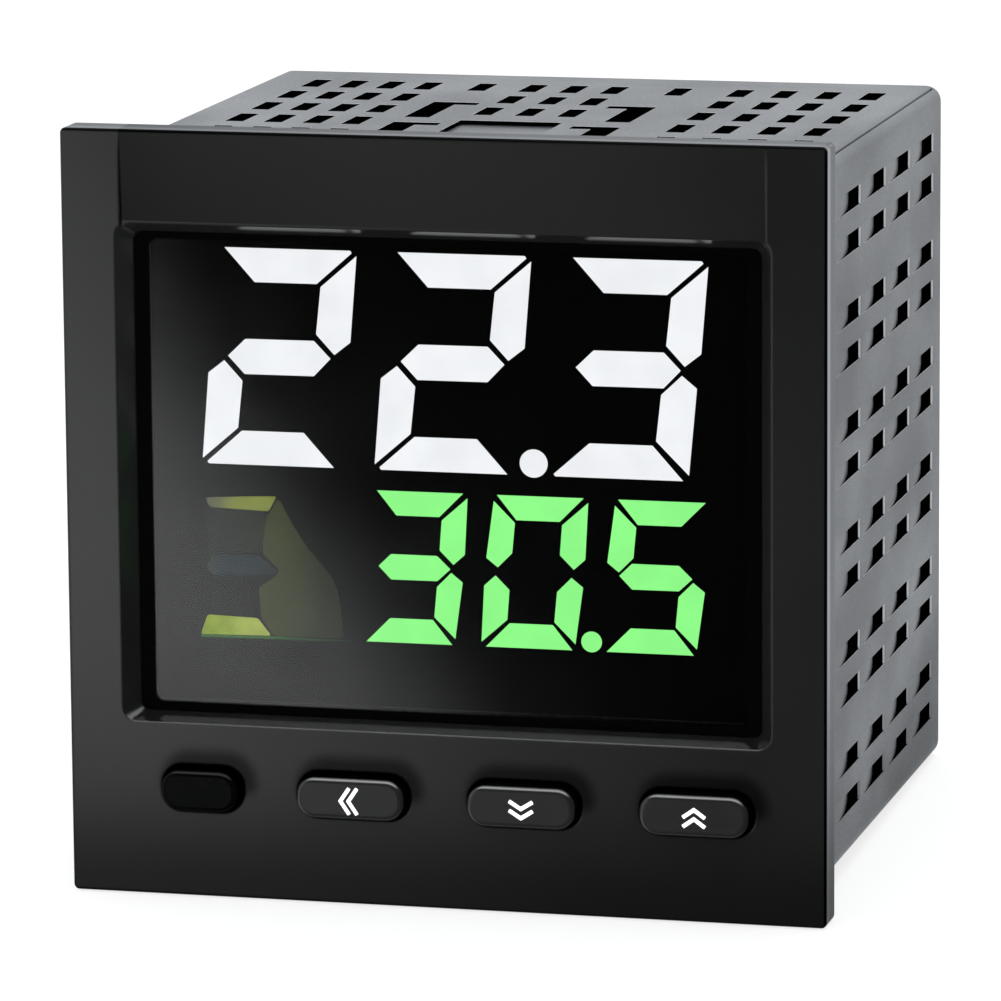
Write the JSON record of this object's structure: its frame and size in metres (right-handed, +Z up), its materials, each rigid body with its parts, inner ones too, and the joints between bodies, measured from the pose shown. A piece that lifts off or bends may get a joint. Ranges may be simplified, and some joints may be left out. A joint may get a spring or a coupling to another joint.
{
  "type": "panel-mounted temperature controller",
  "caption": "Square-fronted panel controller: black bezel with a recessed digital display, pill-shaped keys below it, vented grey rear case and screw terminals at the back.",
  "frame": {"origin": "centre of the panel seat: the plane of the flange's rear face, on the front's axis", "axes": "+X right as seen from the front, +Y to the rear through the panel, +Z up"},
  "size_m": [0.096, 0.0941, 0.096],
  "materials": {
    "bezel_plastic": "fine satin texture, black",
    "case_plastic": "fine moulded texture, grey",
    "window_pane": "polished, smoked",
    "key_plastic": "satin caps, printed marks",
    "plunger_plastic": "plain moulded",
    "switch_plastic": "plain moulded",
    "lcd_glass": "dark negative display",
    "guide_acrylic": "polished",
    "reflector_film": "white film",
    "holder_plastic": "black moulding",
    "strip_rubber": "conductive rubber strip",
    "led_plastic": "moulded",
    "board_laminate": "green solder mask",
    "screw_steel": "zinc plated",
    "chip_plastic": "moulded package",
    "connector_plastic": "moulded header",
    "ferrite": "pressed ferrite",
    "coil_tape": "taped winding",
    "capacitor_sleeve": "shrink sleeve",
    "filter_plastic": "moulded box",
    "fuse_tube": "ceramic tube",
    "varistor_coat": "epoxy coat",
    "relay_plastic": "moulded box",
    "coupler_plastic": "moulded package",
    "terminal_plastic": "moulded, barrier walls",
    "terminal_brass": "plated",
    "terminal_steel": "zinc plated"
  },
  "bodies": {
    "housing": {"front_bezel": "bezel_plastic", "rear_case": "case_plastic", "display_window": "window_pane", "key_switches": "switch_plastic", "lcd_panel": "lcd_glass", "light_guide": "guide_acrylic", "reflector_sheet": "reflector_film", "lcd_holder": "holder_plastic", "contact_strips": "strip_rubber", "backlight_leds": "led_plastic", "display_board": "board_laminate", "board_screws": "screw_steel", "microcontroller": "chip_plastic", "display_driver": "chip_plastic", "power_board": "board_laminate", "output_board": "board_laminate", "board_connectors": "connector_plastic", "transformer_core": "ferrite", "transformer_coil": "coil_tape", "capacitors": "capacitor_sleeve", "line_filter": "filter_plastic", "fuse": "fuse_tube", "varistor": "varistor_coat", "output_relays": "relay_plastic", "optocouplers": "coupler_plastic", "input_converter": "chip_plastic", "left_terminal_block": "terminal_plastic", "right_terminal_block": "terminal_plastic", "terminal_plates": "terminal_brass", "terminal_screws": "terminal_steel"},
    "mode_button": {"mode_key": "key_plastic", "mode_plunger": "plunger_plastic"},
    "shift_button": {"shift_key": "key_plastic", "shift_plunger": "plunger_plastic"},
    "down_button": {"down_key": "key_plastic", "down_plunger": "plunger_plastic"},
    "up_button": {"up_key": "key_plastic", "up_plunger": "plunger_plastic"}
  },
  "joints": [
    {"name": "mode_press", "type": "slide", "parent": "housing", "child": "mode_button", "axis": [0, 1, 0], "range_m": [0, 0.0003], "stiffness_N_per_m": 4000},
    {"name": "shift_press", "type": "slide", "parent": "housing", "child": "shift_button", "axis": [0, 1, 0], "range_m": [0, 0.0003], "stiffness_N_per_m": 4000},
    {"name": "down_press", "type": "slide", "parent": "housing", "child": "down_button", "axis": [0, 1, 0], "range_m": [0, 0.0003], "stiffness_N_per_m": 4000},
    {"name": "up_press", "type": "slide", "parent": "housing", "child": "up_button", "axis": [0, 1, 0], "range_m": [0, 0.0003], "stiffness_N_per_m": 4000}
  ]
}
